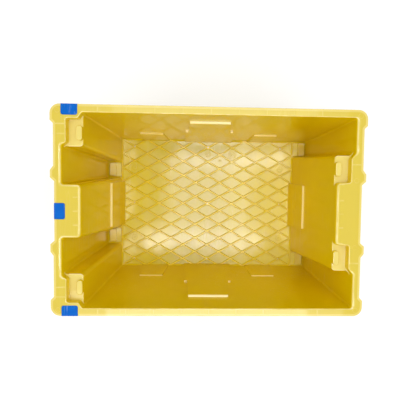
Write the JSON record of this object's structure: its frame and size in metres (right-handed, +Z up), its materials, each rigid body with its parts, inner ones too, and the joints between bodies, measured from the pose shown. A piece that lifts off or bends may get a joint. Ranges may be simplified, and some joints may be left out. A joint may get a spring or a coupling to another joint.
{
  "type": "stacking and nesting plastic crate",
  "caption": "Open-topped rectangular plastic crate with ribbed floor, sloping walls and end ledges, that nests one way round and stacks the other, with blue marker clips in its rim.",
  "frame": {"origin": "centre of the base outline, on the plane that the crate stands on", "axes": "+X along the length, towards the end without marker clips; +Y across the width; +Z up, out of the open top"},
  "size_m": [0.6, 0.4, 0.3],
  "materials": {
    "yellow_plastic": "moulded yellow polyethylene, slightly glossy",
    "blue_plastic": "moulded blue plastic, satin"
  },
  "bodies": {
    "root": {"crate_body": "yellow_plastic", "corner_marker_clip_back": "blue_plastic", "corner_marker_clip_front": "blue_plastic", "end_marker_clip": "blue_plastic"}
  },
  "joints": []
}
